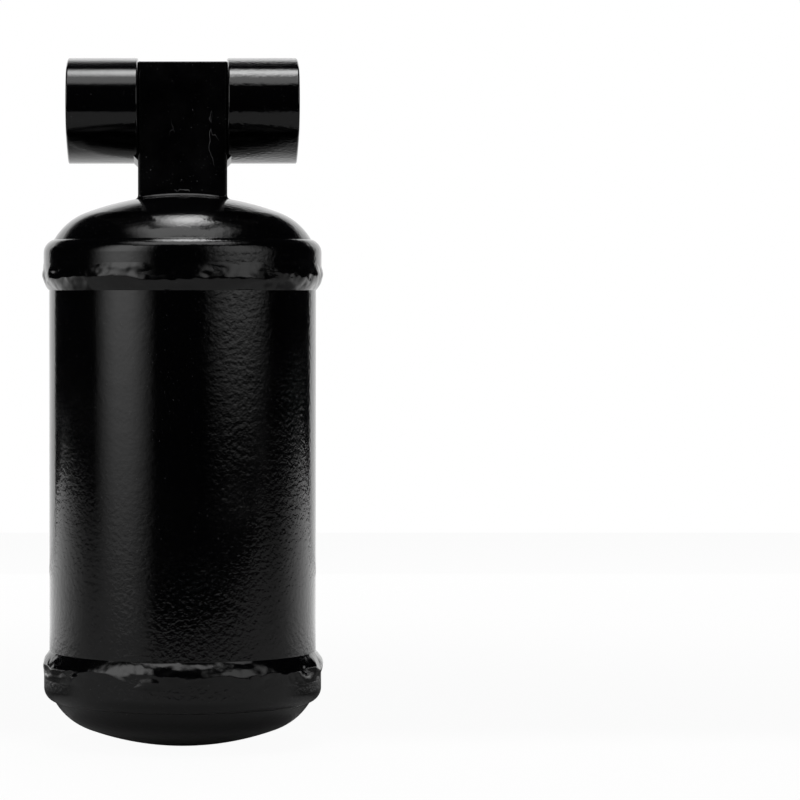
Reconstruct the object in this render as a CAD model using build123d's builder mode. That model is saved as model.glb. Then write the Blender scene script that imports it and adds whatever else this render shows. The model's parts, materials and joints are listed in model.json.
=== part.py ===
"""Filter drier: a welded steel can with two pressed end caps, a square port column and two lugs.

Millimetres. +Z is up the can's axis, the foot stands on Z = 0, the lugs lie along X and their
noses point along -Y.
"""
import os
from math import asin, cos, degrees, hypot, pi, radians, sin, sqrt

from build123d import *

os.makedirs("parts", exist_ok=True)

# ---- can --------------------------------------------------------------------------------------
shell_radius = 38.1            # outside of the 3 inch tube
shell_wall = 1.6
cap_wall = 1.5
slip_clearance = 0.05          # radial, between the tube and the cap's skirt
can_height = 156.4             # foot to the upper cap's crown
crown_radius = 78.5            # pressed cap: crown, knuckle, crease, corner roll, skirt
knuckle_radius = 17.5
crease_angle = 60.0            # slope of the knuckle where it runs into the crease
crease_inset = 3.0             # crease to the outside of the skirt
roll_radius = 4.0
skirt_length = 6.6
tube_standoff = 1.0            # tube end above the corner roll
foot_radius = 10.0             # flat pressed into the lower crown

# ---- girth welds ------------------------------------------------------------------------------
bead_lap = 3.7                 # reach of the bead over the skirt
bead_leg = 4.0                 # reach of the bead along the tube
bead_crown = 0.3               # height above the skirt

# ---- head -------------------------------------------------------------------------------------
column_side = 25.4             # 1 inch square bar
column_back = 20.5             # rear face, from the can's axis
column_drop = 1.55             # column's top below the lugs' tops
column_edge_radius = 0.8
neck_leg = 1.2                 # concave weld round the column's foot

port_rise = 24.25              # port axis above the upper cap's crown
lug_back_radius = 15.1         # round the port
lug_nose_radius = 10.6         # round the pad bolt
lug_pitch = 18.3               # port to pad bolt, along Y
nose_rise = 1.3                # pad bolt above the port's axis
flank_radius = 90.0            # crowned flanks between the two
lug_length = 20.0
lug_edge_radius = 0.5
seam_leg = 1.2                 # brazed joint under each lug

port_radius = 7.0
port_depth = 9.0
port_chamfer = 0.6
passage_radius = 4.0
passage_offset = 6.5           # upright passages, either side of the can's mid-plane
passage_web = 3.5              # from the mid-plane to the end of each cross drilling
pad_bolt_radius = 3.4          # tapping drill for M8
pad_bolt_depth = 14.0
pad_bolt_chamfer = 0.5

# ---- filter and desiccant ---------------------------------------------------------------------
pickup_radius = 4.0
pickup_wall = 0.9
pickup_seat_depth = 6.0        # into the column, above its foot
pickup_clearance = 0.05
pickup_end_gap = 4.9           # tube's open end below the screen's collar
plate_thickness = 1.2
plate_hole_radius = 1.6
plate_row_pitch = 6.0
plate_hole_pitch = 7.0
pad_thickness = 6.0
fill_clearance = 0.1
fill_headroom = 38.4           # desiccant's top below the upper cap's crown
spring_wire_radius = 1.0
spring_radius = 24.0
spring_turns = 3
screen_radius = 6.6
screen_wall = 0.5
screen_gap = 0.6               # collar below the lower plate
screen_height = 9.5
screen_neck = 3.0
screen_slot_width = 1.4
screen_slot_height = 3.4
screen_slots = 10

# ---- derived ----------------------------------------------------------------------------------
skirt_radius = shell_radius + slip_clearance + cap_wall
shell_bore = shell_radius - shell_wall
fill_radius = shell_bore - fill_clearance
column_front = column_back - column_side
port_y = column_back - lug_back_radius
pad_bolt_y = port_y - lug_pitch
lug_root = column_side / 2
lug_end = lug_root + lug_length
column_top = can_height + port_rise + lug_back_radius - column_drop
port_height = can_height + port_rise
pad_bolt_height = port_height + nose_rise
crease_radius = skirt_radius - crease_inset
knuckle_start_radius = (crease_radius - knuckle_radius * sin(radians(crease_angle))) / (
    1 - knuckle_radius / crown_radius)
knuckle_start_angle = degrees(asin(knuckle_start_radius / crown_radius))
foot_corner_drop = crown_radius - sqrt(
    crown_radius**2 - column_back**2 - (column_side / 2) ** 2)
fill_top = can_height - fill_headroom
can_middle = Plane.XY.offset(can_height / 2)


def below(centre, radius, angle):
    """A point on an arc, by its angle from straight down."""
    return (centre[0] + radius * sin(radians(angle)), centre[1] - radius * cos(radians(angle)))


def cap_centres(foot):
    """Arc centres of a cap's section, its lowest point at Z = 0: crown, knuckle and corner roll."""
    crown = (0.0, sqrt(crown_radius**2 - foot**2))
    knuckle = below(crown, crown_radius - knuckle_radius, knuckle_start_angle)
    crease = below(knuckle, knuckle_radius, crease_angle)
    roll_r = skirt_radius - roll_radius
    roll = (roll_r, crease[1] + sqrt(roll_radius**2 - (crease[0] - roll_r) ** 2))
    return crown, knuckle, roll, degrees(asin((crease[0] - roll_r) / roll_radius))


def cap_arcs(foot, inset):
    """The cap's outside, or its inside when inset by the wall, from the axis to the skirt."""
    crown, knuckle, roll, roll_angle = cap_centres(foot)
    flat = sqrt((crown_radius - inset) ** 2 - (crown[1] - inset) ** 2) if foot else 0.0
    flat_angle = degrees(asin(flat / (crown_radius - inset)))
    spans = (
        (crown, crown_radius - inset, flat_angle, knuckle_start_angle),
        (knuckle, knuckle_radius - inset, knuckle_start_angle, crease_angle),
        (roll, roll_radius - inset, roll_angle, 90.0),
    )
    ends = []
    for centre, radius, low, high in spans:
        start, end = below(centre, radius, low), below(centre, radius, high)
        if ends and hypot(start[0] - ends[-1][0], start[1] - ends[-1][1]) > 0.01:
            Line(ends[-1], start)
        elif ends:
            start = ends[-1]
        ThreePointArc(start, below(centre, radius, (low + high) / 2), end)
        ends += [start, end]
    if foot:
        Line((0, inset), ends[0])
    return (0, inset), ends[-1]


def roll_height(foot):
    """Height of the corner roll's centre, where the straight skirt begins."""
    return cap_centres(foot)[2][1]


def end_cap(foot):
    """One pressed cap, dome down."""
    rim = roll_height(foot) + skirt_length
    with BuildPart() as cap:
        with BuildSketch(Plane.XZ):
            with BuildLine():
                outer_low, outer_high = cap_arcs(foot, 0.0)
                inner_low, inner_high = cap_arcs(foot, cap_wall)
                Line(outer_low, inner_low)
                Polyline(outer_high, (outer_high[0], rim), (inner_high[0], rim), inner_high)
            make_face()
        revolve(axis=Axis.Z)
    return cap


def cap_envelope(foot):
    """The space inside a cap's outer surface, dome down."""
    rim = roll_height(foot) + skirt_length
    with BuildPart() as envelope:
        with BuildSketch(Plane.XZ):
            with BuildLine():
                low, high = cap_arcs(foot, 0.0)
                Polyline(high, (high[0], rim), (0, rim), low)
            make_face()
        revolve(axis=Axis.Z)
    return envelope


def girth_bead(foot):
    """The fillet weld between a cap's rim and the tube, dome down."""
    rim = roll_height(foot) + skirt_length
    over = skirt_radius + bead_crown
    with BuildPart() as bead:
        with BuildSketch(Plane.XZ):
            with BuildLine():
                ThreePointArc((shell_radius, rim + bead_leg),
                              (shell_radius + 0.72 * (over - shell_radius), rim + 0.5 * bead_leg),
                              (over, rim - 0.1 * bead_leg))
                ThreePointArc((over, rim - 0.1 * bead_leg),
                              (over - 0.1 * bead_crown, rim - 0.5 * bead_lap),
                              (skirt_radius, rim - bead_lap))
                Polyline((skirt_radius, rim - bead_lap), (skirt_radius, rim), (shell_radius, rim),
                         (shell_radius, rim + bead_leg))
            make_face()
        revolve(axis=Axis.Z)
    return bead


# ---- can pieces, the upper ones turned over about the can's middle ---------------------------
lower_end_cap = end_cap(foot_radius)
plain_cap = end_cap(0.0)
plain_cap_space = cap_envelope(0.0)
lower_weld_bead = girth_bead(foot_radius)
plain_bead = girth_bead(0.0)

with BuildPart() as shell_tube:
    tube_bottom = roll_height(foot_radius) + tube_standoff
    tube_top = can_height - roll_height(0.0) - tube_standoff
    with BuildSketch(Plane.XY.offset(tube_bottom)):
        Circle(shell_radius)
        Circle(shell_bore, mode=Mode.SUBTRACT)
    extrude(amount=tube_top - tube_bottom)

with BuildPart() as upper_end_cap:
    mirror(plain_cap.part, about=can_middle)
    with BuildSketch(Plane.XY.offset(can_height - roll_height(0.0))):
        with Locations((-passage_offset, port_y)):
            Circle(passage_radius)
        with Locations((passage_offset, port_y)):
            Circle(pickup_radius + pickup_clearance)
    extrude(amount=roll_height(0.0), mode=Mode.SUBTRACT)

with BuildPart() as upper_weld_bead:
    mirror(plain_bead.part, about=can_middle)

with BuildPart() as upper_cap_space:
    mirror(plain_cap_space.part, about=can_middle)

# ---- head -------------------------------------------------------------------------------------
column_plan = Plane.XY.offset(can_height - roll_height(0.0))

with BuildPart() as column_blank:
    with BuildSketch(column_plan):
        with Locations((0, (column_front + column_back) / 2)):
            Rectangle(column_side, column_side)
        fillet(vertices(), column_edge_radius)
    extrude(amount=column_top - column_plan.origin.Z)

with BuildPart() as neck_weld:
    add(upper_cap_space.part)
    add(column_blank.part)
    foot_edges = [
        e for e in edges().filter_by_position(Axis.Z, can_height - foot_corner_drop, can_height)
        if max(abs(e.center().X), abs(e.center().Y - (column_front + column_back) / 2))
        <= column_side / 2
    ]
    fillet(foot_edges, neck_leg)
    add(upper_cap_space.part, mode=Mode.SUBTRACT)
    add(column_blank.part, mode=Mode.SUBTRACT)

with BuildPart() as head_column:
    add(column_blank.part)
    fillet(faces().sort_by(Axis.Z)[-1].edges(), column_edge_radius / 2)
    add(upper_cap_space.part, mode=Mode.SUBTRACT)
    with BuildSketch(column_plan):
        with Locations((-passage_offset, port_y), (passage_offset, port_y)):
            Circle(passage_radius)
    extrude(amount=port_height - column_plan.origin.Z, mode=Mode.SUBTRACT)
    with BuildSketch(column_plan):
        with Locations((passage_offset, port_y)):
            Circle(pickup_radius + pickup_clearance)
    extrude(amount=can_height + pickup_seat_depth - column_plan.origin.Z, mode=Mode.SUBTRACT)
    for side in (-1, 1):
        with BuildSketch(Plane.YZ.offset(side * passage_web)):
            with Locations((port_y, port_height)):
                Circle(passage_radius)
        extrude(amount=side * (lug_root - passage_web), mode=Mode.SUBTRACT)


def lug_outline():
    """The lug seen along the port: port and pad bolt rounds joined by crowned flanks."""
    back = Vector(port_y, port_height)
    nose = Vector(pad_bolt_y, pad_bolt_height)
    pitch = (nose - back).length
    along = (nose - back).normalized()
    across = Vector(-along.Y, along.X)
    reach_back = flank_radius - lug_back_radius
    reach_nose = flank_radius - lug_nose_radius
    run = (pitch**2 + reach_back**2 - reach_nose**2) / (2 * pitch)
    drop = sqrt(reach_back**2 - run**2)
    touch = []
    for side in (1, -1):
        centre = back + along * run - across * (side * drop)
        start = back + (back - centre).normalized() * lug_back_radius
        end = nose + (nose - centre).normalized() * lug_nose_radius
        crest = centre + ((start + end) / 2 - centre).normalized() * flank_radius
        ThreePointArc(start, crest, end)
        touch.append((start, end))
    ThreePointArc(touch[0][0], back - along * lug_back_radius, touch[1][0])
    ThreePointArc(touch[0][1], nose + along * lug_nose_radius, touch[1][1])


def port_lug(side):
    """One lug, with its port, its passage to the column and its blind pad bolt hole."""
    root = Plane.YZ.offset(side * lug_root)
    mouth = Plane((side * lug_end, 0, 0), x_dir=(0, 1, 0), z_dir=(side, 0, 0))
    with BuildPart() as lug:
        with BuildSketch(root):
            with BuildLine():
                lug_outline()
            make_face()
        extrude(amount=side * lug_length)
        fillet(faces().filter_by(Axis.X).edges(), lug_edge_radius)
        with Locations(mouth):
            with Locations((port_y, side * port_height)):
                Hole(passage_radius)
                CounterSinkHole(port_radius, port_radius + port_chamfer, depth=port_depth,
                                counter_sink_angle=90)
            with Locations((pad_bolt_y, side * pad_bolt_height)):
                CounterSinkHole(pad_bolt_radius, pad_bolt_radius + pad_bolt_chamfer,
                                depth=pad_bolt_depth, counter_sink_angle=90)
    return lug


def lug_seam(side):
    """The brazed fillet where a lug's underside meets the column's flank."""
    with BuildPart() as seam:
        with BuildSketch(Plane.YZ.offset(side * lug_root)):
            with BuildLine():
                lug_outline()
            make_face()
            offset(amount=seam_leg)
        extrude(amount=side * seam_leg, taper=45)
        with BuildSketch(Plane.YZ.offset(side * lug_root)):
            with BuildLine():
                lug_outline()
            make_face()
        extrude(amount=side * lug_length, mode=Mode.SUBTRACT)
        with BuildSketch(Plane.YZ.offset(side * lug_root)):
            with Locations((column_front + column_edge_radius, port_height)):
                Rectangle(column_side - 2 * column_edge_radius, 2 * lug_back_radius,
                          align=(Align.MIN, Align.MAX))
        extrude(amount=side * lug_length, mode=Mode.INTERSECT)
    return seam


inlet_lug = port_lug(-1)
outlet_lug = port_lug(1)
inlet_braze_seam = lug_seam(-1)
outlet_braze_seam = lug_seam(1)

# ---- filter and desiccant ---------------------------------------------------------------------
_, knuckle, roll, roll_angle = cap_centres(foot_radius)
ridge_inner = below(knuckle, knuckle_radius - cap_wall, crease_angle)
ridge_outer = below(roll, roll_radius - cap_wall, roll_angle)
lower_plate_height = ridge_inner[1] + (fill_radius - ridge_inner[0]) * (
    (ridge_outer[1] - ridge_inner[1]) / (ridge_outer[0] - ridge_inner[0]))
pickup_hole = pickup_radius + pickup_clearance
fill_bottom = lower_plate_height + plate_thickness + pad_thickness
screen_top = lower_plate_height - screen_gap
screen_bottom = screen_top - screen_height
pickup_bottom = screen_top - pickup_end_gap


def perforations():
    """Hole centres in a plate, less those that would break into the pickup tube's hole."""
    centres = []
    for row in range(1, int((fill_radius - 2 * plate_hole_radius) / plate_row_pitch) + 1):
        radius = row * plate_row_pitch
        count = int(2 * pi * radius / plate_hole_pitch)
        for i in range(count):
            angle = radians(360 * i / count)
            x, y = radius * cos(angle), radius * sin(angle)
            if hypot(x - passage_offset, y - port_y) > pickup_hole + 2 * plate_hole_radius:
                centres.append((x, y))
    return centres


def disc(bottom, thickness, holes):
    """A round layer of the filter pack, with the pickup tube's hole and any perforations."""
    with BuildPart() as layer:
        with BuildSketch(Plane.XY.offset(bottom)):
            Circle(fill_radius)
            with Locations((passage_offset, port_y)):
                Circle(pickup_hole, mode=Mode.SUBTRACT)
            if holes:
                with Locations(*holes):
                    Circle(plate_hole_radius, mode=Mode.SUBTRACT)
        extrude(amount=thickness)
    return layer


lower_perforated_plate = disc(lower_plate_height, plate_thickness, perforations())
lower_filter_pad = disc(lower_plate_height + plate_thickness, pad_thickness, [])
desiccant_charge = disc(fill_bottom, fill_top - fill_bottom, [])
upper_filter_pad = disc(fill_top, pad_thickness, [])
upper_perforated_plate = disc(fill_top + pad_thickness, plate_thickness, perforations())

with BuildPart() as pickup_tube:
    with BuildSketch(Plane.XY.offset(pickup_bottom)):
        with Locations((passage_offset, port_y)):
            Circle(pickup_radius)
            Circle(pickup_radius - pickup_wall, mode=Mode.SUBTRACT)
    extrude(amount=can_height + pickup_seat_depth - pickup_bottom)

with BuildPart() as pressure_spring:
    low = fill_top + pad_thickness + plate_thickness + spring_wire_radius
    high = can_height - (crown_radius - sqrt(
        (crown_radius - cap_wall - spring_wire_radius) ** 2 - spring_radius**2))
    with BuildLine(Plane.XY.offset(low)) as coil:
        Helix(pitch=(high - low) / spring_turns, height=high - low, radius=spring_radius)
    with BuildSketch(coil.line ^ 0):
        Circle(spring_wire_radius)
    sweep(path=coil.line, is_frenet=True)

with BuildPart() as pickup_screen:
    shoulder = screen_top - screen_neck
    neck = pickup_radius
    with BuildSketch(Plane.XZ.offset(-port_y)):
        with BuildLine():
            Polyline(
                (passage_offset, screen_bottom),
                (passage_offset + screen_radius, screen_bottom),
                (passage_offset + screen_radius, shoulder),
                (passage_offset + neck + screen_wall, shoulder),
                (passage_offset + neck + screen_wall, screen_top),
                (passage_offset + neck, screen_top),
                (passage_offset + neck, shoulder - screen_wall),
                (passage_offset + screen_radius - screen_wall, shoulder - screen_wall),
                (passage_offset + screen_radius - screen_wall, screen_bottom + screen_wall),
                (passage_offset, screen_bottom + screen_wall),
                close=True,
            )
        make_face()
    revolve(axis=Axis((passage_offset, port_y, 0), (0, 0, 1)))
    slot_height = (screen_bottom + shoulder) / 2
    for i in range(screen_slots):
        turn = radians(360 * i / screen_slots)
        with BuildSketch(Plane(origin=(passage_offset, port_y, slot_height),
                               x_dir=(-sin(turn), cos(turn), 0),
                               z_dir=(cos(turn), sin(turn), 0))):
            Rectangle(screen_slot_width, screen_slot_height)
        extrude(amount=screen_radius + screen_wall, mode=Mode.SUBTRACT)

# ---- export -----------------------------------------------------------------------------------
pieces = {
    "shell_tube": shell_tube,
    "upper_end_cap": upper_end_cap,
    "lower_end_cap": lower_end_cap,
    "upper_weld_bead": upper_weld_bead,
    "lower_weld_bead": lower_weld_bead,
    "neck_weld": neck_weld,
    "head_column": head_column,
    "inlet_lug": inlet_lug,
    "outlet_lug": outlet_lug,
    "inlet_braze_seam": inlet_braze_seam,
    "outlet_braze_seam": outlet_braze_seam,
    "pickup_tube": pickup_tube,
    "pickup_screen": pickup_screen,
    "lower_perforated_plate": lower_perforated_plate,
    "lower_filter_pad": lower_filter_pad,
    "desiccant_charge": desiccant_charge,
    "upper_filter_pad": upper_filter_pad,
    "upper_perforated_plate": upper_perforated_plate,
    "pressure_spring": pressure_spring,
}
for name, piece in pieces.items():
    piece.part.label = name
    export_step(piece.part, f"parts/{name}.step")
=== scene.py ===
"""A welded filter drier in its studio: paint, welds and the stamped head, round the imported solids."""

import json
import logging
import math
from dataclasses import dataclass
from enum import Enum
from typing import Any, Union

import bmesh
import bpy
from mathutils import Euler, Matrix, Vector, noise

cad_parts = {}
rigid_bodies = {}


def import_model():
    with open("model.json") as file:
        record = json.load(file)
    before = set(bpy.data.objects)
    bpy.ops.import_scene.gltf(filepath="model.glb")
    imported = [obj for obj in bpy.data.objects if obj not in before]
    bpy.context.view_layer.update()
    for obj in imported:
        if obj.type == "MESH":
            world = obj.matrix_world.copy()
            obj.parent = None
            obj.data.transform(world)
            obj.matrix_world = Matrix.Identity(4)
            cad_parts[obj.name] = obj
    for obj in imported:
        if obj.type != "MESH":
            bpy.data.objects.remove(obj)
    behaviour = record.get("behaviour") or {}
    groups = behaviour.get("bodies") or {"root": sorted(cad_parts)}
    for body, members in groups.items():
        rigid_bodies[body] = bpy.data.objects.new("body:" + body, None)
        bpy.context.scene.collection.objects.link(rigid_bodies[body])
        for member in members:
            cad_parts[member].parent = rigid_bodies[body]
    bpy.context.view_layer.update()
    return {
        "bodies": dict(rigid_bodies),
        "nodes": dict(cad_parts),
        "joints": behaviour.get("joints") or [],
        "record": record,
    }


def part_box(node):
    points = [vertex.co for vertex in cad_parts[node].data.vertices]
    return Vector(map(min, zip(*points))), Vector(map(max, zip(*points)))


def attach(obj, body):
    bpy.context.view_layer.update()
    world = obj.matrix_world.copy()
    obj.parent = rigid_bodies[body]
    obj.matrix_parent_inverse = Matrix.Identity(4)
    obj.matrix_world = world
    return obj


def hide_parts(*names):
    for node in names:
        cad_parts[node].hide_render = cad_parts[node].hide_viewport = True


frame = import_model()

LOG = logging.getLogger("filter_drier")
MM = 0.001
MERGE = 1e-7
Pair = tuple[float, float]
Triple = tuple[float, float, float]
Colour = tuple[float, float, float, float]
Input = Union["Signal", float, Triple, Colour]

WHITE: Colour = (1.0, 1.0, 1.0, 1.0)
BLACK: Colour = (0.0, 0.0, 0.0, 1.0)


# ---- shader building --------------------------------------------------------------------------


class Signal:
    """A shader socket that adds Math nodes when it is used in arithmetic."""

    def __init__(self, book: "NodeBook", socket: bpy.types.NodeSocket) -> None:
        """Wrap an output socket.

        Args:
            book: The node book that adds further nodes.
            socket: The output socket that carries the value.
        """
        self.book = book
        self.socket = socket

    def _math(self, operation: str, *values: Input) -> "Signal":
        """Add one Math node.

        Args:
            operation: The node's operation.
            values: Its inputs, in order.

        Returns:
            The node's output.
        """
        return self.book.node("ShaderNodeMath", {"operation": operation}, dict(enumerate(values)))

    def __add__(self, other: Input) -> "Signal":
        """Sum."""
        return self._math("ADD", self, other)

    def __radd__(self, other: Input) -> "Signal":
        """Sum, reflected."""
        return self._math("ADD", other, self)

    def __sub__(self, other: Input) -> "Signal":
        """Difference."""
        return self._math("SUBTRACT", self, other)

    def __rsub__(self, other: Input) -> "Signal":
        """Difference, reflected."""
        return self._math("SUBTRACT", other, self)

    def __mul__(self, other: Input) -> "Signal":
        """Product."""
        return self._math("MULTIPLY", self, other)

    def __rmul__(self, other: Input) -> "Signal":
        """Product, reflected."""
        return self._math("MULTIPLY", other, self)

    def __truediv__(self, other: Input) -> "Signal":
        """Quotient."""
        return self._math("DIVIDE", self, other)

    def __rtruediv__(self, other: Input) -> "Signal":
        """Quotient, reflected."""
        return self._math("DIVIDE", other, self)

    def clamp(self) -> "Signal":
        """The value kept from 0 to 1."""
        return self._math("MINIMUM", self._math("MAXIMUM", self, 0.0), 1.0)

    def size(self) -> "Signal":
        """The value without its sign."""
        return self._math("ABSOLUTE", self)

    def step(self, low: float, high: float) -> "Signal":
        """A smooth rise from 0 at low to 1 at high.

        Args:
            low: Where the rise begins.
            high: Where it ends.

        Returns:
            The eased value.
        """
        return self.book.node(
            "ShaderNodeMapRange",
            {"interpolation_type": "SMOOTHSTEP"},
            {"Value": self, "From Min": low, "From Max": high, "To Min": 0.0, "To Max": 1.0},
        )


class NodeBook:
    """The node tree of a material or a world, with a single way to add any node."""

    def __init__(self, owner: "bpy.types.Material | bpy.types.World") -> None:
        """Start an empty tree.

        Args:
            owner: The new material or world.
        """
        self.owner = owner
        owner.use_nodes = True
        self.tree = owner.node_tree
        self.tree.nodes.clear()

    @classmethod
    def material(cls, name: str) -> "NodeBook":
        """The book of a new material."""
        return cls(bpy.data.materials.new(name))

    def node(
        self, kind: str, settings: dict[str, Any], inputs: dict["str | int", Input], out: "str | int" = 0
    ) -> Signal:
        """Add a node, set it up, then fill its sockets.

        Args:
            kind: The node's type name.
            settings: Its attributes, which are set before the sockets are filled.
            inputs: Socket names or numbers, each with a value or a Signal.
            out: The output to return, by name or number.

        Returns:
            The chosen output. It is empty for a node that has none.
        """
        made = self.tree.nodes.new(kind)
        for name, value in settings.items():
            setattr(made, name, value)
        for key, value in inputs.items():
            if isinstance(value, Signal):
                self.tree.links.new(value.socket, made.inputs[key])
            else:
                made.inputs[key].default_value = value
        return Signal(self, made.outputs[out] if made.outputs else None)

    def place(self, scale: Triple = (1, 1, 1), offset: Triple = (0, 0, 0)) -> Signal:
        """Object coordinates, stretched and moved.

        Args:
            scale: Factors along X, Y and Z.
            offset: Added after the scale.

        Returns:
            The coordinates.
        """
        here = self.node("ShaderNodeTexCoord", {}, {}, "Object")
        return self.node("ShaderNodeMapping", {}, {"Vector": here, "Scale": scale, "Location": offset})

    def axis(self, letter: str, scale: Triple = (1, 1, 1)) -> Signal:
        """One of the Object coordinates.

        Args:
            letter: X, Y or Z.
            scale: Factors along the three axes.

        Returns:
            The coordinate.
        """
        return self.node("ShaderNodeSeparateXYZ", {}, {0: self.place(scale)}, letter)

    def cloud(
        self, scale: float, detail: float = 2.0, roughness: float = 0.5, at: "Signal | None" = None
    ) -> Signal:
        """Soft noise.

        Args:
            scale: Cells per metre.
            detail: Octaves.
            roughness: Share of the finer octaves.
            at: Coordinates, or Object coordinates if left out.

        Returns:
            The noise, about 0.5.
        """
        where = at if at is not None else self.place()
        return self.node(
            "ShaderNodeTexNoise",
            {},
            {"Vector": where, "Scale": scale, "Detail": detail, "Roughness": roughness},
            "Fac",
        )

    def blend(self, factor: Input, low: Input, high: Input) -> Signal:
        """A colour between two others.

        Args:
            factor: 0 for low, 1 for high.
            low: First colour.
            high: Second colour.

        Returns:
            The mixed colour.
        """
        return self.node("ShaderNodeMix", {"data_type": "RGBA"}, {0: factor, 6: low, 7: high}, 2)

    def ray(self, kind: str) -> Signal:
        """1 for one kind of ray and 0 for the rest."""
        return self.node("ShaderNodeLightPath", {}, {}, kind)

    def bump(self, height: Signal, depth: float, after: "Signal | None" = None) -> Signal:
        """A normal from a height.

        Args:
            height: The height, 0 to 1.
            depth: Metres for a height of 1.
            after: A normal to build on.

        Returns:
            The normal.
        """
        inputs: dict["str | int", Input] = {"Height": height, "Distance": depth}
        if after is not None:
            inputs["Normal"] = after
        return self.node("ShaderNodeBump", {}, inputs)

    def surface(self, sockets: dict["str | int", Input]) -> bpy.types.Material:
        """Close the tree with a Principled BSDF.

        Args:
            sockets: Its inputs by name.

        Returns:
            The finished material.
        """
        return self.close(self.node("ShaderNodeBsdfPrincipled", {}, sockets))

    def glow(self, colour: Input, strength: float) -> Signal:
        """A surface that gives out light.

        Args:
            colour: Its colour.
            strength: Its radiance, where 1 shows as white.

        Returns:
            The shader.
        """
        return self.node("ShaderNodeEmission", {}, {"Color": colour, "Strength": strength})

    def mix(self, factor: Input, low: Signal, high: Signal) -> Signal:
        """A shader between two others.

        Args:
            factor: 0 for low, 1 for high.
            low: First shader.
            high: Second shader.

        Returns:
            The mixed shader.
        """
        return self.node("ShaderNodeMixShader", {}, {0: factor, 1: low, 2: high})

    def close(self, shader: Signal) -> "bpy.types.Material | bpy.types.World":
        """End the tree with its output.

        Args:
            shader: What the output shows.

        Returns:
            The material or world.
        """
        kind = "World" if isinstance(self.owner, bpy.types.World) else "Material"
        self.node(f"ShaderNodeOutput{kind}", {}, {"Surface": shader})
        return self.owner


# ---- finishes ---------------------------------------------------------------------------------


@dataclass(frozen=True)
class GlossPaint:
    """Black gloss enamel over steel, with orange peel that runs heavy low down and to the right.

    Attributes:
        name: The material's name.
        colour: The enamel.
        primer: The grey that shows where it is worn through.
        roughness: Its roughness where it is clean.
        fine_cells: Orange peel, cells per metre.
        fine_depth: Its depth where it is heavy.
        light_peel: Share of that depth where the coat lies smooth.
        heavy_right: Distances to the right between which the peel grows heavy.
        heavy_low: Heights between which it lies smooth again.
        broad_cells: Slow waves under it, cells per metre.
        broad_depth: Their depth.
        haze_cells: Dull patches, cells per metre.
        haze_edge: Noise between which a dull patch fades in.
        haze: How much rougher a dull patch is.
        speck_cells: Worn specks, cells per metre.
        speck_edge: Noise between which a speck fades in.
        specks: How much primer shows in a speck.
        rubbed: How much rougher the primer is.
        scuffs: How much the coat is scratched, 0 to 1.
        scratch_cells: Run of the scratches, cells per metre.
        scratch_grain: How the run is stretched along the three axes.
        scratch_width: Width of a scratch, as a share of the noise.
        patch_cells: Patches that hold the scratches, cells per metre.
        patch_grain: How the patches are stretched.
        patch_offset: Moves the patches to where the head is handled.
        patch_edge: Noise between which a patch fades in.
        chip_cells: Chips, cells per metre.
        chip_edge: Noise between which a chip fades in.
        chips: How much primer shows in a chip.
        wear: Primer that shows in a scratch on a fully scuffed coat.
        dust: Primer that shows in its dull patches.
    """

    name: str = "black_gloss_enamel"
    colour: Colour = (0.001, 0.001, 0.0012, 1.0)
    primer: Colour = (0.45, 0.45, 0.46, 1.0)
    roughness: float = 0.1
    fine_cells: float = 760.0
    fine_depth: float = 0.066 * MM
    light_peel: float = 0.3
    heavy_right: Pair = (-12.0 * MM, 8.0 * MM)
    heavy_low: Pair = (40.0 * MM, 90.0 * MM)
    broad_cells: float = 170.0
    broad_depth: float = 0.03 * MM
    haze_cells: float = 60.0
    haze_edge: Pair = (0.35, 0.75)
    haze: float = 0.05
    speck_cells: float = 2600.0
    speck_edge: Pair = (0.74, 0.8)
    specks: float = 0.2
    rubbed: float = 0.3
    scuffs: float = 0.0
    scratch_cells: float = 130.0
    scratch_grain: Triple = (1.0, 1.0, 0.35)
    scratch_width: float = 0.005
    patch_cells: float = 55.0
    patch_grain: Triple = (1.6, 1.0, 0.6)
    patch_offset: Triple = (0.3, 0.0, 0.1)
    patch_edge: Pair = (0.47, 0.56)
    chip_cells: float = 620.0
    chip_edge: Pair = (0.7, 0.74)
    chips: float = 0.4
    wear: float = 0.55
    dust: float = 0.02

    def peel(self, book: NodeBook) -> Signal:
        """The coat's uneven surface.

        Args:
            book: The material's book.

        Returns:
            The normal.
        """
        right = book.axis("X").step(*self.heavy_right)
        low = 1 - book.axis("Z").step(*self.heavy_low)
        heavy = (right + low).clamp() * (1 - self.light_peel) + self.light_peel
        fine = (book.cloud(self.fine_cells, 2.0, 0.5) - 0.5) * heavy
        broad = book.cloud(self.broad_cells, 1.0, 0.4)
        return book.bump(fine, self.fine_depth, book.bump(broad, self.broad_depth))

    def scratches(self, book: NodeBook) -> Signal:
        """Thin scratches in patches and small chips.

        Args:
            book: The material's book.

        Returns:
            How much primer shows.
        """
        run = book.cloud(self.scratch_cells, 3.0, 0.5, book.place(self.scratch_grain))
        lines = 1 - (run - 0.5).size().step(0.0, self.scratch_width)
        where = book.place(self.patch_grain, self.patch_offset)
        patch = book.cloud(self.patch_cells, 2.0, 0.6, where).step(*self.patch_edge)
        chip = book.cloud(self.chip_cells, 2.0, 0.6).step(*self.chip_edge)
        return lines * patch + chip * self.chips

    def make(self) -> bpy.types.Material:
        """Build the material.

        Returns:
            The paint.
        """
        book = NodeBook.material(self.name)
        haze = book.cloud(self.haze_cells, 3.0, 0.6).step(*self.haze_edge)
        worn = book.cloud(self.speck_cells, 1.0, 0.5).step(*self.speck_edge) * self.specks
        if self.scuffs:
            scratched = self.scratches(book) * (self.scuffs * self.wear)
            worn = (worn + scratched + haze * self.dust).clamp()
        return book.surface(
            {
                "Base Color": book.blend(worn, self.colour, self.primer),
                "Roughness": haze * self.haze + worn * self.rubbed + self.roughness,
                "Normal": self.peel(book),
                "IOR": 1.5,
            }
        )


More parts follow.
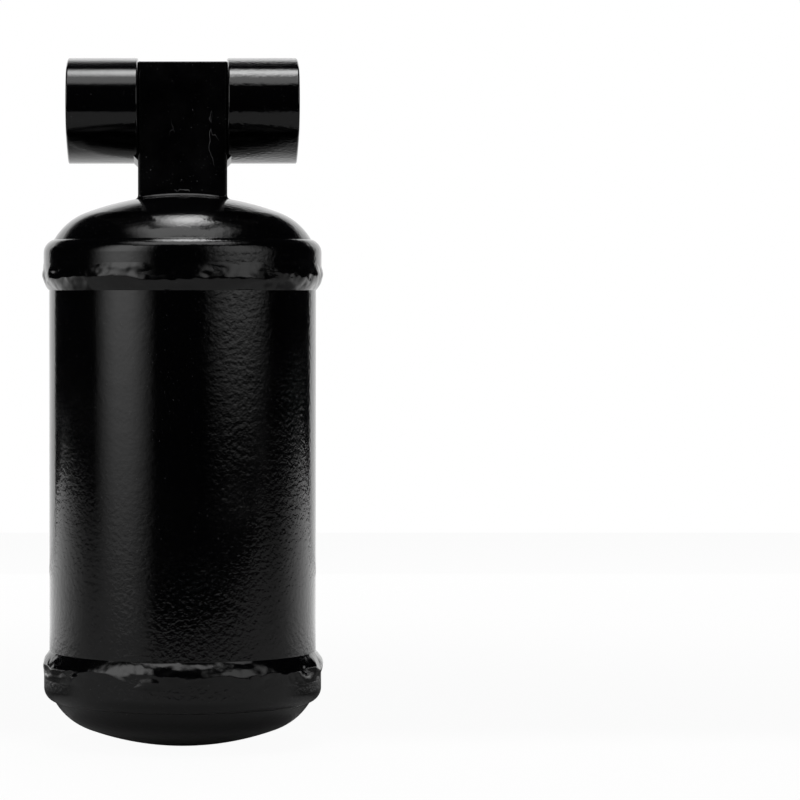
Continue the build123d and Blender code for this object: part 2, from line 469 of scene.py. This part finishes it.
@dataclass(frozen=True)
class BareMetal:
    """Uncoated metal with drawn or rolled grain.

    Attributes:
        name: The material's name.
        colour: The clean metal.
        shade: Where it is stained.
        roughness: Its lowest roughness.
        streaks: How much rougher the grain makes it.
        grain: Cells per metre along the three axes.
        grain_depth: Depth of the grain.
        stain_cells: Stains, cells per metre.
        stain_edge: Noise between which a stain fades in.
    """

    name: str
    colour: Colour
    shade: Colour
    roughness: float = 0.32
    streaks: float = 0.18
    grain: Triple = (900.0, 900.0, 60.0)
    grain_depth: float = 0.01 * MM
    stain_cells: float = 45.0
    stain_edge: Pair = (0.4, 0.7)

    def make(self) -> bpy.types.Material:
        """Build the material.

        Returns:
            The metal.
        """
        book = NodeBook.material(self.name)
        lines = book.cloud(1.0, 3.0, 0.6, book.place(self.grain))
        stain = book.cloud(self.stain_cells, 4.0, 0.6).step(*self.stain_edge)
        return book.surface(
            {
                "Base Color": book.blend(stain, self.colour, self.shade),
                "Metallic": 1.0,
                "Roughness": lines * self.streaks + self.roughness,
                "Normal": book.bump(lines, self.grain_depth),
            }
        )


@dataclass(frozen=True)
class WovenScreen:
    """Fine brass gauze.

    Attributes:
        name: The material's name.
        colour: The wires.
        gap_shade: Painted shade, the dark in the openings between them.
        pitch: From wire to wire.
        depth: Height of a wire.
    """

    name: str = "brass_gauze"
    colour: Colour = (0.62, 0.44, 0.17, 1.0)
    gap_shade: Colour = (0.12, 0.08, 0.03, 1.0)
    pitch: float = 0.35 * MM
    depth: float = 0.06 * MM

    def make(self) -> bpy.types.Material:
        """Build the material.

        Returns:
            The gauze.
        """
        book = NodeBook.material(self.name)
        wires = [
            book.node(
                "ShaderNodeTexWave",
                {"bands_direction": way, "wave_profile": "SIN"},
                {"Vector": book.place(), "Scale": 1.0 / (math.tau * self.pitch), "Distortion": 0.0},
                "Fac",
            )
            for way in ("DIAGONAL", "Z")
        ]
        weave = (wires[0] * wires[1]).step(0.1, 0.8)
        return book.surface(
            {
                # painted shade: the openings between the wires are coloured dark
                "Base Color": book.blend(weave, self.gap_shade, self.colour),
                "Metallic": 1.0,
                "Roughness": 0.55 - weave * 0.25,
                "Normal": book.bump(weave, self.depth),
            }
        )


@dataclass(frozen=True)
class FibrePad:
    """Off-white needled polyester.

    Attributes:
        name: The material's name.
        light: The outer strands.
        dark: Painted shade in the hollows between them.
        strand: Cells per metre along the three axes.
        strand_depth: Height of a strand.
        tuft_cells: Tufts, cells per metre.
        tuft_depth: Height of a tuft.
    """

    name: str = "fibre_pad"
    light: Colour = (0.8, 0.79, 0.74, 1.0)
    dark: Colour = (0.55, 0.53, 0.47, 1.0)
    strand: Triple = (1400.0, 500.0, 1400.0)
    strand_depth: float = 0.25 * MM
    tuft_cells: float = 220.0
    tuft_depth: float = 0.6 * MM

    def make(self) -> bpy.types.Material:
        """Build the material.

        Returns:
            The felt.
        """
        book = NodeBook.material(self.name)
        strands = book.cloud(1.0, 6.0, 0.75, book.place(self.strand))
        tufts = book.cloud(self.tuft_cells, 3.0, 0.6)
        return book.surface(
            {
                # painted shade: the hollows between the strands are coloured darker
                "Base Color": book.blend((strands + tufts - 0.5).clamp(), self.dark, self.light),
                "Roughness": strands * 0.1 + 0.85,
                "Normal": book.bump(strands, self.strand_depth, book.bump(tufts, self.tuft_depth)),
            }
        )


@dataclass(frozen=True)
class BeadFill:
    """Packed molecular sieve beads.

    Attributes:
        name: The material's name.
        light: The beads' tops.
        dark: Painted shade in the gaps between them.
        bead: From bead to bead.
        depth: Height of a bead above the gaps.
        steepness: How fast a bead falls away from its top.
    """

    name: str = "sieve_beads"
    light: Colour = (0.72, 0.6, 0.43, 1.0)
    dark: Colour = (0.22, 0.16, 0.1, 1.0)
    bead: float = 2.0 * MM
    depth: float = 0.7 * MM
    steepness: float = 2.2

    def make(self) -> bpy.types.Material:
        """Build the material.

        Returns:
            The fill.
        """
        book = NodeBook.material(self.name)
        cells = book.node(
            "ShaderNodeTexVoronoi",
            {"feature": "F1"},
            {"Vector": book.place(), "Scale": 1.0 / self.bead, "Randomness": 0.7},
            "Distance",
        )
        dome = 1.0 - (cells * cells * self.steepness).clamp()
        return book.surface(
            {
                # painted shade: the gaps between the beads are coloured dark
                "Base Color": book.blend(dome.step(0.15, 0.75), self.dark, self.light),
                "Roughness": 0.9 - dome * 0.1,
                "Normal": book.bump(dome, self.depth),
            }
        )


class Finish(Enum):
    """The drier's finishes, each with the record's slot that it belongs to."""

    PAINT = ("black_paint", GlossPaint())
    WELD = (
        "painted_weld",
        GlossPaint(
            "black_enamel_on_weld",
            roughness=0.13,
            fine_cells=900.0,
            fine_depth=0.035 * MM,
            broad_cells=330.0,
            broad_depth=0.12 * MM,
        ),
    )
    SCUFFED = ("black_paint", GlossPaint("scuffed_black_enamel", light_peel=0.15, scuffs=1.0))
    STEEL = ("bare_steel", BareMetal("rolled_steel", (0.5, 0.5, 0.49, 1.0), (0.36, 0.35, 0.34, 1.0)))
    SPRING = (
        "spring_steel",
        BareMetal("drawn_spring_wire", (0.36, 0.36, 0.38, 1.0), (0.2, 0.2, 0.22, 1.0), 0.25),
    )
    COPPER = (
        "copper_tube",
        BareMetal("drawn_copper", (0.72, 0.34, 0.2, 1.0), (0.5, 0.22, 0.13, 1.0), 0.22),
    )
    GAUZE = ("brass_screen", WovenScreen())
    FELT = ("fibre_pad", FibrePad())
    BEADS = ("desiccant_beads", BeadFill())

    def material(self) -> bpy.types.Material:
        """The finish's material, built once."""
        recipe = self.value[1]
        return bpy.data.materials.get(recipe.name) or recipe.make()

    def slot(self) -> str:
        """The record's slot."""
        return self.value[0]


# ---- pieces -----------------------------------------------------------------------------------


def set_out(
    name: str, shape: bmesh.types.BMesh, material: "bpy.types.Material | None" = None
) -> bpy.types.Object:
    """Put a shape in the scene as an object at the origin.

    Args:
        name: The object's name.
        shape: Its shape, in metres. It is freed.
        material: Its material, or None for a shape that is only a tool.

    Returns:
        The object.
    """
    mesh = bpy.data.meshes.new(name)
    shape.to_mesh(mesh)
    shape.free()
    if material:
        mesh.materials.append(material)
    made = bpy.data.objects.new(name, mesh)
    bpy.context.scene.collection.objects.link(made)
    return made


def sheet(corners: tuple[Triple, ...]) -> bmesh.types.BMesh:
    """A single face.

    Args:
        corners: Its corners, in order.

    Returns:
        The shape.
    """
    shape = bmesh.new()
    shape.faces.new([shape.verts.new(corner) for corner in corners])
    return shape


def turned(outline: list[Vector], stations: int, closed: bool) -> bmesh.types.BMesh:
    """An outline turned fully round the can's axis.

    Args:
        outline: Radius and height of each point.
        stations: Steps round the axis.
        closed: Whether the last point runs back to the first, rather than both lying on the axis.

    Returns:
        The shape.
    """
    shape = bmesh.new()
    verts = [shape.verts.new((point.x, 0.0, point.y)) for point in outline]
    follow = verts[1:] + verts[:1] if closed else verts[1:]
    edges = [shape.edges.new(pair) for pair in zip(verts, follow)]
    bmesh.ops.spin(
        shape,
        geom=[*verts, *edges],
        cent=(0, 0, 0),
        axis=(0, 0, 1),
        angle=math.tau,
        steps=stations,
        use_merge=True,
    )
    return shape


class Workshop:
    """Turns bmesh work into finished pieces and dresses the CAD nodes."""

    def __init__(self, loaded: dict[str, Any]) -> None:
        """Keep the CAD nodes.
        """
        self.nodes: dict[str, bpy.types.Object] = loaded["nodes"]

    def finish(
        self, name: str, shape: bmesh.types.BMesh, finish: Finish, stands_for: str, crease: float
    ) -> bpy.types.Object:
        """Make a shape a piece of the drier in place of a CAD node.

        Args:
            name: The piece's name.
            shape: Its shape, in metres, in place. It is freed.
            finish: Its finish.
            stands_for: The CAD node that it replaces.
            crease: Edges sharper than this many degrees stay sharp.

        Returns:
            The piece.
        """
        bmesh.ops.remove_doubles(shape, verts=shape.verts, dist=MERGE)
        bmesh.ops.recalc_face_normals(shape, faces=shape.faces)
        piece = set_out(name, shape, finish.material())
        piece.data.shade_smooth()
        piece.data.set_sharp_from_angle(angle=math.radians(crease))
        flats = piece.modifiers.new("flat_faces_stay_flat", "WEIGHTED_NORMAL")
        flats.weight, flats.keep_sharp = 100, True
        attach(piece, "root")
        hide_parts(stands_for)
        LOG.info("%s: %d faces for %s", name, len(piece.data.polygons), stands_for)
        return piece

    def dress(self, finish: Finish, *names: str) -> None:
        """Give CAD nodes a finish.

        Args:
            finish: The finish.
            names: The nodes.
        """
        for name in names:
            node = self.nodes[name]
            node.data.materials.clear()
            node.data.materials.append(finish.material())
            LOG.info("%s: %s", name, finish.name.lower())


@dataclass(frozen=True)
class Can:
    """The sizes that the welds and the caps share.

    Attributes:
        tube_radius: Outside of the tube.
        skirt_radius: Outside of a cap's skirt, which laps over the tube.
        wall: Thickness of a cap.
    """

    tube_radius: float = 38.1 * MM
    skirt_radius: float = 39.65 * MM
    wall: float = 1.5 * MM


@dataclass(frozen=True)
class Ripple:
    """One size of lump on a weld.

    Attributes:
        along: Lumps round the can, as a share of the noise's scale.
        across: Lumps from the tube to the cap.
        height: Their height, in millimetres.
    """

    along: float
    across: float
    height: float


@dataclass
class GirthWeld:
    """One heavy fillet weld round the can, lumpy along its run.

    Attributes:
        can: The can's sizes.
        node: The CAD node that it replaces.
        name: The piece's name.
        tube_end: Height where it meets the tube.
        cap_end: Height where it meets the cap's skirt.
        seed: Its place in the noise.
        leg: Height of the fillet, from the tube to the skirt's rim.
        crown: How far it bulges.
        root: Depth of its hidden faces inside the tube and the skirt.
        noise_scale: Scale of the noise round the can.
        ripples: Its lumps, from broad to fine.
        stations: Steps round the can.
        across: Steps over the bead.
        sharp_from: Edges sharper than this many degrees stay sharp.
    """

    can: Can
    node: str
    name: str
    tube_end: float
    cap_end: float
    seed: float
    leg: float = 4.0 * MM
    crown: float = 0.3 * MM
    root: Pair = (0.02 * MM, 0.05 * MM)
    noise_scale: float = 9.0
    ripples: tuple[Ripple, ...] = (
        Ripple(0.35, 1.6, 0.5),
        Ripple(0.8, 3.4, 0.36),
        Ripple(2.2, 5.0, 0.11),
    )
    stations: int = 640
    across: int = 22
    sharp_from: float = 50.0

    @property
    def rim(self) -> float:
        """Height of the skirt's rim, under the bead."""
        return self.tube_end + math.copysign(self.leg, self.cap_end - self.tube_end)

    def section(self) -> list[Vector]:
        """The bead's outline.

        Returns:
            Radius and height of each point: over the bead from the tube to the skirt, and back inside.
        """
        fillet_share = 0.52  # of the bead's height, from the tube to the skirt's rim
        overrun = 1.02  # above 1, the bulge ends a little before the bead does
        fullness = 1.5  # above 1, the bulge is narrower than a sine wave
        points = []
        for i in range(self.across + 1):
            t = i / self.across
            height = self.tube_end + (self.cap_end - self.tube_end) * t
            rise = math.sin(min(1.0, t / fillet_share) * math.pi / 2)
            base = self.can.tube_radius + (self.can.skirt_radius - self.can.tube_radius) * rise
            bulge = self.crown * math.sin(math.pi * min(1.0, t * overrun)) ** fullness
            points.append(Vector((base + bulge, height)))
        in_tube = self.can.tube_radius - self.root[0]
        in_skirt = self.can.skirt_radius - self.root[1]
        return [
            *points,
            Vector((in_skirt, self.cap_end)),
            Vector((in_skirt, self.rim)),
            Vector((in_tube, self.rim)),
            Vector((in_tube, self.tube_end)),
        ]

    def lump(self, angle: float, t: float) -> float:
        """Height of the weld's unevenness.

        Args:
            angle: Place round the can, in radians.
            t: Place across the bead, 0 at the tube and 1 at the skirt.

        Returns:
            Metres outward.
        """
        around = Vector((math.cos(angle), math.sin(angle), 0.0)) * self.noise_scale
        total = 0.0
        for index, ripple in enumerate(self.ripples, start=1):
            lift = Vector((0, 0, self.seed * index + t * ripple.across))
            total += ripple.height * noise.noise(around * ripple.along + lift)
        return math.sqrt(math.sin(math.pi * t)) * total * MM

    def build(self, shop: Workshop) -> bpy.types.Object:
        """Model the bead, with its ends and its root left as they are.

        Args:
            shop: The workshop.

        Returns:
            The piece.
        """
        end_share = 0.02
        slack = 0.01 * MM
        shape = turned(self.section(), self.stations, closed=True)
        inner = self.can.tube_radius - self.root[0] + slack
        for vert in shape.verts:
            radius = math.hypot(vert.co.x, vert.co.y)
            t = (vert.co.z - self.tube_end) / (self.cap_end - self.tube_end)
            on_rim = math.isclose(vert.co.z, self.rim, abs_tol=slack)
            if radius > inner and not on_rim and end_share < t < 1 - end_share:
                grown = radius + self.lump(math.atan2(vert.co.y, vert.co.x), t)
                vert.co.x *= grown / radius
                vert.co.y *= grown / radius
        return shop.finish(self.name, shape, Finish.WELD, self.node, self.sharp_from)


@dataclass
class PressedCap:
    """One end cap, spun from its pressed section: crown, knuckle, crease, corner roll and skirt.

    Attributes:
        can: The can's sizes.
        node: The CAD node that it replaces.
        name: The piece's name.
        tip: Height of the crown's tip or flat foot.
        rim: Height of the skirt's rim.
        foot: Radius of the flat foot, 0 for none.
        crown_radius: Radius of the crown's arc.
        knuckle_radius: Radius of the knuckle's arc.
        crease_slope: Slope of the knuckle where it runs into the crease, in degrees.
        crease_inset: From the crease to the outside of the skirt.
        roll_radius: Radius of the corner roll's arc.
        stations: Steps round the can.
        step: Degrees from point to point on an arc, at most.
        sharp_from: Edges sharper than this many degrees stay sharp.
    """

    can: Can
    node: str
    name: str
    tip: float
    rim: float
    foot: float = 0.0
    crown_radius: float = 78.5 * MM
    knuckle_radius: float = 17.5 * MM
    crease_slope: float = 60.0
    crease_inset: float = 3.0 * MM
    roll_radius: float = 4.0 * MM
    stations: int = 288
    step: float = 1.5
    sharp_from: float = 40.0

    @staticmethod
    def out(angle: float) -> Vector:
        """The direction that leans this many degrees from the axis, as radius and height."""
        return Vector((math.sin(math.radians(angle)), math.cos(math.radians(angle))))

    def arc(self, centre: Vector, radius: float, start: float, end: float) -> list[Vector]:
        """Points on an arc.

        Args:
            centre: Its centre, as radius and height.
            radius: Its radius.
            start: First slope of the surface, in degrees.
            end: Last slope.

        Returns:
            The points, both ends included.
        """
        count = max(3, math.ceil((end - start) / self.step))
        return [centre + self.out(start + (end - start) * i / count) * radius for i in range(count + 1)]

    def section(self, inset: float) -> list[Vector]:
        """The pressed curve with the dome up and its tip at height 0.

        Args:
            inset: 0 for the outside, or the wall for the inside.

        Returns:
            Points from the foot or the axis to the top of the skirt.
        """
        crown = Vector((0.0, -math.sqrt(self.crown_radius**2 - self.foot**2)))
        crease_radius = self.can.skirt_radius - self.crease_inset
        lean = crease_radius - self.knuckle_radius * self.out(self.crease_slope).x
        meet = math.degrees(math.asin(lean / (self.crown_radius - self.knuckle_radius)))
        knuckle = crown + self.out(meet) * (self.crown_radius - self.knuckle_radius)
        crease = knuckle + self.out(self.crease_slope) * self.knuckle_radius
        side = crease.x - (self.can.skirt_radius - self.roll_radius)
        drop = math.sqrt(self.roll_radius**2 - side**2)
        roll = Vector((self.can.skirt_radius - self.roll_radius, crease.y - drop))
        shoulder = math.degrees(math.asin(side / self.roll_radius))
        flat = math.degrees(math.asin(self.foot / self.crown_radius))
        return [
            *self.arc(crown, self.crown_radius - inset, flat, meet),
            *self.arc(knuckle, self.knuckle_radius - inset, meet, self.crease_slope),
            *self.arc(roll, self.roll_radius - inset, shoulder, 90.0),
        ]

    def build(self, shop: Workshop) -> bpy.types.Object:
        """Spin the cap.

        Args:
            shop: The workshop.

        Returns:
            The piece.
        """
        up = math.copysign(1.0, self.tip - self.rim)
        depth = -abs(self.tip - self.rim)
        outer, inner = self.section(0.0), self.section(self.can.wall)
        outline = [
            Vector((0.0, 0.0)),
            *outer,
            Vector((outer[-1].x, depth)),
            Vector((inner[-1].x, depth)),
            *reversed(inner),
            Vector((0.0, -self.can.wall)),
        ]
        placed = [Vector((point.x, self.tip + up * point.y)) for point in outline]
        shape = turned(placed, self.stations, closed=False)
        return shop.finish(self.name, shape, Finish.PAINT, self.node, self.sharp_from)


@dataclass
class StampedColumn:
    """The square port column with a plain flow arrow stamped into its top.

    Attributes:
        node: The CAD node that it replaces.
        at: The arrow's middle.
        length: The arrow's length.
        head: Spread of its head.
        stroke: Width of its lines.
        depth: How deep it is stamped.
        apart: Share by which each bar of the stamp is taller than the last, so that no two faces
            lie in one plane.
        flat_within: Faces that differ by less than this many degrees are joined first.
        sharp_from: Edges sharper than this many degrees stay sharp.
    """

    node: str = "head_column"
    at: Pair = (-9.6 * MM, 7.1 * MM)
    length: float = 4.4 * MM
    head: float = 2.6 * MM
    stroke: float = 0.6 * MM
    depth: float = 0.25 * MM
    apart: float = 0.01
    flat_within: float = 0.2
    sharp_from: float = 32.0

    def arrow(self) -> bmesh.types.BMesh:
        """The stamp: a shaft and an open head that points along +X.

        Returns:
            A closed cutter that stands through the top face.
        """
        half = self.stroke / 2
        tip = self.length / 2
        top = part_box(self.node)[1].z
        barb = tip - self.head / 2
        bars = (
            (Vector((-tip, 0)), Vector((tip - half, 0))),
            (Vector((barb, self.head / 2)), Vector((tip, 0))),
            (Vector((barb, -self.head / 2)), Vector((tip, 0))),
        )
        cutter = bmesh.new()
        for index, (start, end) in enumerate(bars):
            middle = (start + end) / 2
            run = end - start
            height = 2 * self.depth * (1 + self.apart * index)
            place = Matrix.Translation((self.at[0] + middle.x, self.at[1] + middle.y, top))
            turn = Matrix.Rotation(math.atan2(run.y, run.x), 4, "Z")
            size = Matrix.Diagonal((run.length + half, self.stroke, height, 1))
            bmesh.ops.create_cube(cutter, size=1.0, matrix=place @ turn @ size)
        return cutter

    def blank(self, shop: Workshop) -> bmesh.types.BMesh:
        """A merged copy of the column, with its flat faces whole.

        Args:
            shop: The workshop.

        Returns:
            The copy.
        """
        flat = math.radians(self.flat_within)
        shape = bmesh.new()
        shape.from_mesh(shop.nodes[self.node].data)
        bmesh.ops.remove_doubles(shape, verts=shape.verts, dist=MERGE)
        bmesh.ops.dissolve_limit(shape, angle_limit=flat, verts=shape.verts, edges=shape.edges)
        return shape

    def build(self, shop: Workshop) -> bpy.types.Object:
        """Cut the stamp into a copy of the column.

        Args:
            shop: The workshop.

        Returns:
            The stamped column.
        """
        body = set_out("column_body", self.blank(shop))
        tool = set_out("column_stamp", self.arrow())
        cut = body.modifiers.new("stamp", "BOOLEAN")
        cut.operation = "DIFFERENCE"
        cut.solver = "EXACT"
        cut.object = tool
        cut.use_self = True
        ready = body.evaluated_get(bpy.context.evaluated_depsgraph_get())
        done = bpy.data.meshes.new_from_object(ready)
        shape = bmesh.new()
        shape.from_mesh(done)
        for mesh in (body.data, tool.data, done):
            bpy.data.meshes.remove(mesh)
        return shop.finish("head_column_stamped", shape, Finish.SCUFFED, self.node, self.sharp_from)


# ---- studio -----------------------------------------------------------------------------------


@dataclass(frozen=True)
class SoftCard:
    """A glowing card whose light fades towards its edges, like a large diffuser.

    Attributes:
        name: Its name.
        centre: Its middle.
        target: The point it faces.
        size: Width and height.
        peak: Radiance at the brightest part, where 1 shows as white.
        core: Share of the half width that glows fully.
        rise: Heights, as shares of the half height from -1 to 1, between which the light comes up.
        fall: Heights between which it fades again.
    """

    name: str
    centre: Triple
    target: Triple
    size: Pair
    peak: float
    core: float
    rise: Pair
    fall: Pair

    def material(self) -> bpy.types.Material:
        """The card's glow, clear to the camera.

        Returns:
            The material.
        """
        book = NodeBook.material(self.name)
        half = (2 / self.size[0], 2 / self.size[1], 1.0)
        across, height = book.axis("X", half), book.axis("Y", half)
        sides = 1.0 - across.size().step(self.core, 1.0)
        glow = sides * height.step(*self.rise) * (1.0 - height.step(*self.fall))
        lit = book.glow(book.blend(glow, BLACK, WHITE), self.peak)
        clear = book.node("ShaderNodeBsdfTransparent", {}, {})
        return book.close(book.mix(book.ray("Is Camera Ray"), lit, clear))

    def hang(self) -> bpy.types.Object:
        """Put the card in the studio.

        Returns:
            The card.
        """
        wide, high = self.size[0] / 2, self.size[1] / 2
        corners = ((-wide, -high, 0), (wide, -high, 0), (wide, high, 0), (-wide, high, 0))
        card = set_out(self.name, sheet(corners), self.material())
        away = Vector(self.centre) - Vector(self.target)
        card.location = self.centre
        card.rotation_euler = away.to_track_quat("-Z", "Y").to_euler()
        return card


@dataclass(frozen=True)
class WhiteTable:
    """White card that glows towards the back in reflections, as a painted reflection, and that the
    camera sees as white.

    Attributes:
        name: The material's name.
        tone: Its colour.
        speck: The colour of its faint grain.
        speck_cells: Grain, cells per metre.
        specks: How much of the grain shows.
        shade: Painted shade: its colour behind the can, darker where the can shades it.
        shade_from: Depths between which the shade begins, from the can's axis backwards.
        shade_to: Distances from the axis between which it ends.
        facing: Shares of straight back between which the glow turns up.
        glow_from: Distances from the axis between which the glow begins.
        glow: Radiance of the glow, where 1 shows as white.
        white: Radiance to the camera.
        to_camera: Share of that white, so that a little shadow shows.
    """

    name: str = "white_table"
    tone: Colour = (0.5, 0.5, 0.5, 1.0)
    speck: Colour = (0.4, 0.4, 0.4, 1.0)
    speck_cells: float = 300.0
    specks: float = 0.08
    shade: Colour = (0.1, 0.1, 0.1, 1.0)
    shade_from: Pair = (-0.02, 0.04)
    shade_to: Pair = (0.12, 0.45)
    facing: Pair = (-0.15, 0.85)
    glow_from: Pair = (0.14, 0.4)
    glow: float = 1.25
    white: float = 1.06
    to_camera: float = 0.9

    def make(self) -> bpy.types.Material:
        """Build the material.

        Returns:
            The table's surface.
        """
        book = NodeBook.material(self.name)
        depth = book.axis("Y")
        reach = book.node("ShaderNodeVectorMath", {"operation": "LENGTH"}, {0: book.place()}, "Value")
        back = (depth / reach).step(*self.facing) * reach.step(*self.glow_from)
        # painted shade: the table's colour is darkened behind the can
        shaded = depth.step(*self.shade_from) * (1 - reach.step(*self.shade_to))
        grain = book.cloud(self.speck_cells, 2.0, 0.5) * self.specks
        colour = book.blend(shaded, book.blend(grain, self.tone, self.speck), self.shade)
        card = book.node("ShaderNodeBsdfDiffuse", {}, {"Color": colour})
        # painted reflection: towards the back the table glows white, seen only by reflected rays
        painted_reflection = book.mix(back * book.ray("Is Glossy Ray"), card, book.glow(WHITE, self.glow))
        seen = book.ray("Is Camera Ray") * self.to_camera
        return book.close(book.mix(seen, painted_reflection, book.glow(WHITE, self.white)))


@dataclass
class Studio:
    """White table in a dark room, with a bright backdrop and large soft cards.

    Attributes:
        picture: Width and height of the picture, in pixels.
        object_x: Pixel column of the can's axis.
        horizon: Pixel row at the camera's height.
        distance: From the camera to the can's axis, in pixels of the picture.
        pixel: Size of a pixel at the can's axis.
        eye: The camera's height.
        sensor: Width of the camera's sensor, in its millimetres.
        head: What the overhead cards face.
        side_height: Middle of the side cards.
        reach: From the can's axis to the side cards.
        table_front: From the can's axis to the table's front edge.
        table_back: From the can's axis to its back edge.
        table_side: From the can's axis to its sides.
        clip: Nearest and farthest that the camera sees.
        dark: The room beyond the cards.
    """

    picture: float = 800.0
    object_x: float = 182.6
    horizon: float = 293.0
    distance: float = 3600.0
    pixel: float = 0.28567 * MM
    eye: float = 128.5 * MM
    sensor: float = 36.0
    head: Triple = (0.0, 0.0, 0.15)
    side_height: float = 0.6
    reach: float = 1.0
    table_front: float = 0.34
    table_back: float = 0.9
    table_side: float = 1.3
    clip: Pair = (0.01, 20.0)
    dark: Colour = (0.004, 0.004, 0.005, 1.0)

    def camera(self) -> bpy.types.Object:
        """Level with the can's upper part, straight in front, the object at the left.

        Returns:
            The camera.
        """
        data = bpy.data.cameras.new("studio_camera")
        data.sensor_width = self.sensor
        data.lens = self.sensor * self.distance / self.picture
        data.shift_x = (self.picture / 2 - self.object_x) / self.picture
        data.clip_start, data.clip_end = self.clip
        camera = bpy.data.objects.new("studio_camera", data)
        camera.location = (0.0, -self.distance * self.pixel, self.eye)
        pitch = math.atan((self.picture / 2 - self.horizon) / self.distance)
        camera.rotation_euler = Euler((math.pi / 2 - pitch, 0.0, 0.0))
        bpy.context.scene.collection.objects.link(camera)
        bpy.context.scene.camera = camera
        return camera

    def around(self, azimuth: float) -> Triple:
        """The middle of a side card.

        Args:
            azimuth: Degrees from straight in front, to the right.

        Returns:
            The point.
        """
        turn = math.radians(azimuth)
        return (self.reach * math.sin(turn), -self.reach * math.cos(turn), self.side_height)

    def above(self, slope: float, side: float, reach: float) -> Triple:
        """The middle of an overhead card.

        Args:
            slope: Degrees above the horizon behind the object; more than 90 leans to the front.
            side: Metres to the right.
            reach: Metres from the head.

        Returns:
            The point.
        """
        turn = math.radians(slope)
        return (side, reach * math.cos(turn), self.head[2] + reach * math.sin(turn))

    def table(self) -> None:
        """The table top, with its front edge close to the object."""
        side, front, back = self.table_side, -self.table_front, self.table_back
        corners = ((-side, front, 0.0), (side, front, 0.0), (side, back, 0.0), (-side, back, 0.0))
        set_out("table", sheet(corners), WhiteTable().make())

    def room(self) -> None:
        """The world: white to the camera and dark to everything else."""
        book = NodeBook(bpy.data.worlds.new("dark_room"))
        dark = book.node("ShaderNodeBackground", {}, {"Color": self.dark})
        white = book.node("ShaderNodeBackground", {}, {"Color": WHITE})
        bpy.context.scene.world = book.close(book.mix(book.ray("Is Camera Ray"), dark, white))

    def cards(self) -> tuple[SoftCard, ...]:
        """The soft lights, placed by where the paint mirrors them.

        Returns:
            The cards.
        """
        level = (0.0, 0.0, self.side_height)
        backdrop_height = 0.24
        return (
            SoftCard(
                "left_card",
                self.around(azimuth=-51.5),
                level,
                size=(1.16, 1.6),
                peak=2.1,
                core=0.09,
                rise=(-1.0, -0.31),
                fall=(0.5, 1.0),
            ),
            SoftCard(
                "right_card",
                self.around(azimuth=49.0),
                level,
                size=(1.33, 1.2),
                peak=1.1,
                core=0.09,
                rise=(-0.95, -0.67),
                fall=(0.5, 1.0),
            ),
            SoftCard(
                "overhead_core",
                self.above(slope=80.0, side=0.03, reach=0.9),
                self.head,
                size=(0.56, 0.86),
                peak=9.0,
                core=0.0,
                rise=(-1.0, 0.0),
                fall=(-0.05, 1.0),
            ),
            SoftCard(
                "overhead_wide",
                self.above(slope=104.0, side=0.0, reach=0.95),
                self.head,
                size=(1.3, 0.8),
                peak=2.0,
                core=0.4,
                rise=(-1.0, -0.5),
                fall=(0.3, 1.0),
            ),
            SoftCard(
                "backdrop",
                (0.0, 0.62, backdrop_height),
                (0.0, 0.0, backdrop_height),
                size=(1.06, 0.48),
                peak=1.05,
                core=0.88,
                rise=(-1.0, -0.98),
                fall=(0.6, 1.0),
            ),
        )

    def build(self) -> None:
        """Set up the room, table, cards and camera."""
        self.room()
        self.table()
        for card in self.cards():
            card.hang()
        self.camera()


def main() -> None:
    """Build the studio and the drier, piece by piece."""
    logging.basicConfig(level=logging.INFO, format="%(name)s %(message)s")
    bpy.context.scene.view_settings.view_transform = "Standard"
    shop = Workshop(frame)
    can = Can()
    Studio().build()
    lo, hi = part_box("lower_weld_bead")
    GirthWeld(can, "lower_weld_bead", "lower_girth_weld", hi.z, lo.z, seed=3.7).build(shop)
    lo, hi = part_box("upper_weld_bead")
    GirthWeld(can, "upper_weld_bead", "upper_girth_weld", lo.z, hi.z, seed=8.2).build(shop)
    StampedColumn().build(shop)
    lo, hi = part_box("lower_end_cap")
    PressedCap(can, "lower_end_cap", "lower_pressed_cap", lo.z, hi.z, foot=10.0 * MM).build(shop)
    lo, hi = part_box("upper_end_cap")
    PressedCap(can, "upper_end_cap", "upper_pressed_cap", hi.z, lo.z).build(shop)
    shop.dress(Finish.PAINT, "shell_tube", "inlet_lug", "outlet_lug")
    shop.dress(Finish.WELD, "neck_weld", "inlet_braze_seam", "outlet_braze_seam")
    shop.dress(Finish.STEEL, "lower_perforated_plate", "upper_perforated_plate")
    shop.dress(Finish.SPRING, "pressure_spring")
    shop.dress(Finish.COPPER, "pickup_tube")
    shop.dress(Finish.GAUZE, "pickup_screen")
    shop.dress(Finish.FELT, "lower_filter_pad", "upper_filter_pad")
    shop.dress(Finish.BEADS, "desiccant_charge")


if __name__ == "__main__":
    main()
